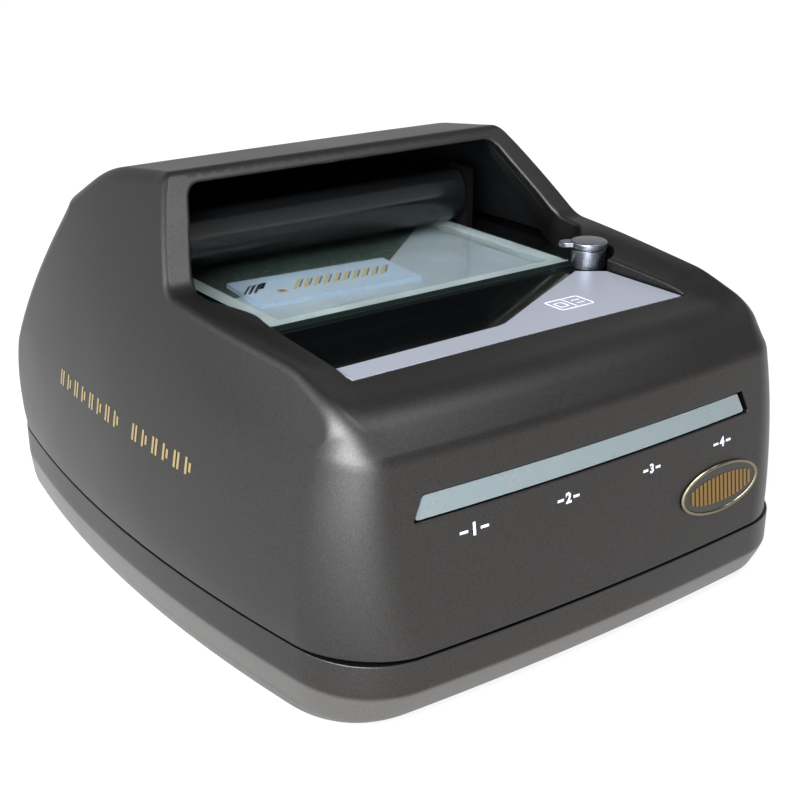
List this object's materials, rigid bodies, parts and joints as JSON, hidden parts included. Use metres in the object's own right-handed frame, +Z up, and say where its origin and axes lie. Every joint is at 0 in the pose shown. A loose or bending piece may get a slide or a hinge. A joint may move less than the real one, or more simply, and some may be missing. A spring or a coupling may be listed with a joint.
{
  "type": "passport scanner",
  "caption": "Desktop passport scanner: a moulded case with a fixed hood over a flat glass window, a sprung hold-down flap, a turn latch and a front light bar.",
  "frame": {"origin": "middle of the footprint at table height", "axes": "+X to the user's right, -Y towards the user, +Z up"},
  "size_m": [0.2056, 0.25, 0.1382],
  "materials": {
    "shell": "dark warm grey satin paint with a fine metallic grain",
    "shell_base": "the same dark warm grey, paler below its crease",
    "liner": "black, slightly glossy",
    "black_gloss": "piano black gloss",
    "flap_gloss": "black gloss",
    "label_plate": "lavender grey satin film",
    "glass": "clear glass with a green edge",
    "frame_grey": "pale grey moulding under the glass",
    "black_matte": "black moulded plastic",
    "steel": "satin steel",
    "aluminium": "anodised",
    "chrome": "bright chrome",
    "gold": "gold foil ribs on a dark ground",
    "light_guide": "milky grey light guide",
    "lamp": "clear lamp body",
    "board": "green circuit board",
    "blue_board": "pale blue circuit board",
    "mirror": "front-silvered mirror",
    "ribbon": "flat cable",
    "switch_black": "black rocker",
    "rubber": "black rubber"
  },
  "bodies": {
    "case": {"upper_shell": "shell", "base_shell": "shell_base", "hood_liner": "liner", "deck_panel": "black_gloss", "deck_label": "label_plate", "scan_glass": "glass", "glass_frame": "frame_grey", "glass_clip": "black_matte", "flap_shaft": "steel", "flap_bracket_left": "black_matte", "flap_bracket_right": "black_matte", "light_bar": "light_guide", "status_board": "board", "badge_rim": "chrome", "badge_face": "gold", "optics_box": "black_matte", "fold_mirror": "mirror", "camera_board": "board", "camera_lens": "black_matte", "lamp_board_left": "board", "lamp_board_right": "board", "window_board": "blue_board", "antenna_board": "board", "main_board": "board", "heat_sink": "aluminium", "buzzer": "black_matte", "usb_socket": "steel", "power_socket": "black_matte", "switch_housing": "black_matte", "ribbon_cable": "ribbon", "status_light_1": "lamp", "status_light_2": "lamp", "status_light_3": "lamp", "status_light_4": "lamp", "foot_front_left": "rubber", "case_screw_front_left": "steel", "foot_front_right": "rubber", "case_screw_front_right": "steel", "foot_rear_left": "rubber", "case_screw_rear_left": "steel", "foot_rear_right": "rubber", "case_screw_rear_right": "steel"},
    "flap": {"press_flap": "flap_gloss"},
    "latch": {"knob_latch": "steel"},
    "rocker": {"power_rocker": "switch_black"}
  },
  "joints": [
    {"name": "flap_hinge", "type": "hinge", "parent": "case", "child": "flap", "pos_m": [0, 0.03022, 0.11618], "axis": [1, 0, 0], "range_deg": [0, 50], "stiffness_Nm_per_rad": 0.01, "springref_deg": -17.19},
    {"name": "latch_turn", "type": "hinge", "parent": "case", "child": "latch", "pos_m": [0.0667, -0.041, 0.1015], "axis": [0, 0, 1], "range_deg": [0, 100]},
    {"name": "rocker_tip", "type": "hinge", "parent": "case", "child": "rocker", "pos_m": [0.034, 0.1204, 0.0151], "axis": [1, 0, 0], "range_deg": [0, 18]}
  ]
}
